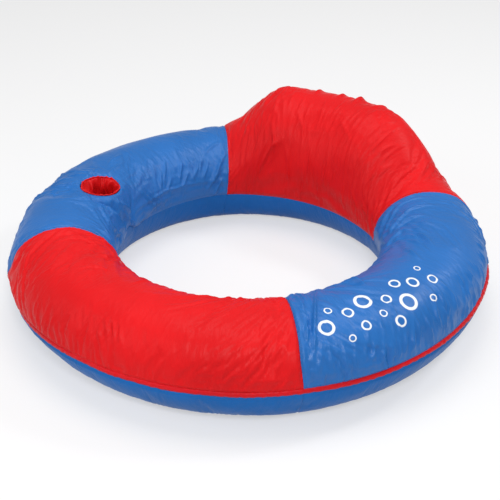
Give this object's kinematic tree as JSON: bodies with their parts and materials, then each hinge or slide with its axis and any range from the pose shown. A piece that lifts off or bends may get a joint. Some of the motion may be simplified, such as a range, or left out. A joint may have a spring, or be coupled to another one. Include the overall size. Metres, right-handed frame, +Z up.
{
  "type": "pool lounger",
  "caption": "Round cloth-covered inflatable pool ring with a raised back, a sprung rim and a drink pocket in its side.",
  "frame": {"origin": "on the floor at the centre of the ring", "axes": "+Z up, +Y towards the raised back, so the drink pocket is on the -X side"},
  "size_m": [1.0685, 1.068, 0.328],
  "materials": {
    "red_cloth": "satin",
    "blue_cloth": "satin",
    "sleeve_cloth": "satin",
    "vinyl": "smooth",
    "valve_vinyl": "smooth",
    "spring_steel": "drawn",
    "zip_tape": "satin",
    "zip_plastic": "moulded"
  },
  "bodies": {
    "lounger": {"top_panel_front": "red_cloth", "top_panel_back": "red_cloth", "cup_pocket": "red_cloth", "cup_pocket_base": "red_cloth", "top_panel_right": "blue_cloth", "top_panel_left": "blue_cloth", "bottom_panel_front": "blue_cloth", "bottom_panel_right": "blue_cloth", "bottom_panel_back": "blue_cloth", "bottom_panel_left": "blue_cloth", "spring_sleeve": "sleeve_cloth", "cup_pocket_binding": "sleeve_cloth", "ring_bladder": "vinyl", "backrest_bladder": "vinyl", "ring_valve": "valve_vinyl", "backrest_valve": "valve_vinyl", "spring_hoop": "spring_steel", "zip_tape_upper": "zip_tape", "zip_tape_lower": "zip_tape", "zip_chain_upper": "zip_plastic", "zip_chain_lower": "zip_plastic", "zip_stop_start": "zip_plastic", "zip_stop_end": "zip_plastic"},
    "zip_slider": {"zip_slider": "zip_plastic"},
    "zip_pull": {"zip_pull": "zip_plastic"},
    "ring_plug": {"ring_valve_plug": "valve_vinyl"},
    "backrest_plug": {"backrest_valve_plug": "valve_vinyl"}
  },
  "joints": [
    {"name": "zip_travel", "type": "hinge", "parent": "lounger", "child": "zip_slider", "pos_m": [0, 0, 0.1761], "axis": [0, 0, 1], "range_deg": [0, 30.6]},
    {"name": "zip_pull_swing", "type": "hinge", "parent": "zip_slider", "child": "zip_pull", "pos_m": [0.13989, 0.50891, 0.17669], "axis": [-0.0283, -0.1029, 0.9943], "range_deg": [0, 175]},
    {"name": "ring_plug_pull", "type": "slide", "parent": "lounger", "child": "ring_plug", "axis": [0, 0.8814, -0.4723], "range_m": [0, 0.015]},
    {"name": "backrest_plug_pull", "type": "slide", "parent": "lounger", "child": "backrest_plug", "axis": [0, 0.9769, 0.2137], "range_m": [0, 0.015]}
  ]
}
